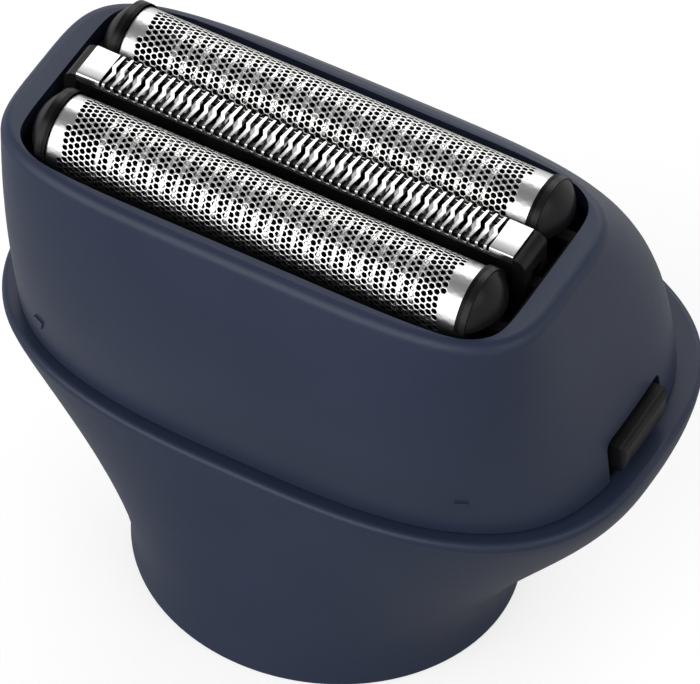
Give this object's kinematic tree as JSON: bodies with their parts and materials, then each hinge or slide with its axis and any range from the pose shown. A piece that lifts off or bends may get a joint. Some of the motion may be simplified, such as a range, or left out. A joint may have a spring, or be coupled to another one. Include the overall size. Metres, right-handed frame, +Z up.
{
  "type": "shaver foil head",
  "caption": "Clip-on foil shaver head: an oval-necked navy base and tapered frame around two arched perforated foils and a slit cutter that float over driven inner blades.",
  "frame": {"origin": "centre of the coupling socket's mouth, in the neck's bottom face", "axes": "+X along the foils, +Y to the rear (the sloping side), +Z up from the neck to the foils"},
  "size_m": [0.061, 0.041, 0.0552],
  "materials": {
    "navy_shell": "fine satin",
    "black_gloss": "gloss",
    "black_matte": "matte",
    "cutter_steel": "polished",
    "wire_steel": "drawn"
  },
  "bodies": {
    "housing": {"base_housing": "navy_shell", "base_deck": "black_matte", "deck_screws": "wire_steel", "lever_pivot_pin": "wire_steel", "foil_frame": "navy_shell", "cassette_frame": "black_matte", "left_button_spring": "wire_steel", "right_button_spring": "wire_steel"},
    "front_cutter_unit": {"front_foil": "cutter_steel", "front_foil_carrier": "black_gloss"},
    "slit_cutter_unit": {"slit_cutter": "cutter_steel", "slit_carrier": "black_gloss"},
    "rear_cutter_unit": {"rear_foil": "cutter_steel", "rear_foil_carrier": "black_gloss"},
    "carriage": {"drive_carriage": "black_matte", "front_blade_spring": "wire_steel", "slit_blade_spring": "wire_steel", "rear_blade_spring": "wire_steel"},
    "lever": {"drive_lever": "black_matte"},
    "front_blade_unit": {"front_inner_blade": "cutter_steel", "front_blade_holder": "black_matte"},
    "slit_blade_unit": {"slit_inner_blade": "cutter_steel", "slit_blade_holder": "black_matte"},
    "rear_blade_unit": {"rear_inner_blade": "cutter_steel", "rear_blade_holder": "black_matte"},
    "left_button": {"left_release_button": "black_gloss"},
    "right_button": {"right_release_button": "black_gloss"}
  },
  "joints": [
    {"name": "front_float", "type": "slide", "parent": "housing", "child": "front_cutter_unit", "axis": [0, 0, -1], "range_m": [0, 0.0015], "stiffness_N_per_m": 400, "springref_m": -0.002},
    {"name": "slit_float", "type": "slide", "parent": "housing", "child": "slit_cutter_unit", "axis": [0, 0, -1], "range_m": [0, 0.0015], "stiffness_N_per_m": 400, "springref_m": -0.002},
    {"name": "rear_float", "type": "slide", "parent": "housing", "child": "rear_cutter_unit", "axis": [0, 0, -1], "range_m": [0, 0.0015], "stiffness_N_per_m": 400, "springref_m": -0.002},
    {"name": "carriage_slide", "type": "slide", "parent": "housing", "child": "carriage", "axis": [1, 0, 0], "range_m": [-0.0012, 0.0012]},
    {"name": "lever_rock", "type": "hinge", "parent": "housing", "child": "lever", "pos_m": [0, 0, 0.0195], "axis": [0, 1, 0], "range_deg": [-5.9, 5.9]},
    {"name": "front_blade_float", "type": "slide", "parent": "carriage", "child": "front_blade_unit", "axis": [0, 0, -1], "range_m": [0, 0.0015], "deforming": ["front_blade_spring"]},
    {"name": "slit_blade_float", "type": "slide", "parent": "carriage", "child": "slit_blade_unit", "axis": [0, 0, -1], "range_m": [0, 0.0015], "deforming": ["slit_blade_spring"]},
    {"name": "rear_blade_float", "type": "slide", "parent": "carriage", "child": "rear_blade_unit", "axis": [0, 0, -1], "range_m": [0, 0.0015], "deforming": ["rear_blade_spring"]},
    {"name": "left_button_press", "type": "slide", "parent": "housing", "child": "left_button", "axis": [1, 0, 0], "range_m": [0, 0.0015], "stiffness_N_per_m": 800, "springref_m": -0.002, "deforming": ["left_button_spring"]},
    {"name": "right_button_press", "type": "slide", "parent": "housing", "child": "right_button", "axis": [-1, 0, 0], "range_m": [0, 0.0015], "stiffness_N_per_m": 800, "springref_m": -0.002, "deforming": ["right_button_spring"]}
  ],
  "couplings": [
    {"joint": "lever_rock", "follows": "carriage_slide", "rad_per_m": 85.47},
    {"joint": "front_blade_float", "follows": "front_float", "ratio": 1},
    {"joint": "slit_blade_float", "follows": "slit_float", "ratio": 1},
    {"joint": "rear_blade_float", "follows": "rear_float", "ratio": 1}
  ]
}
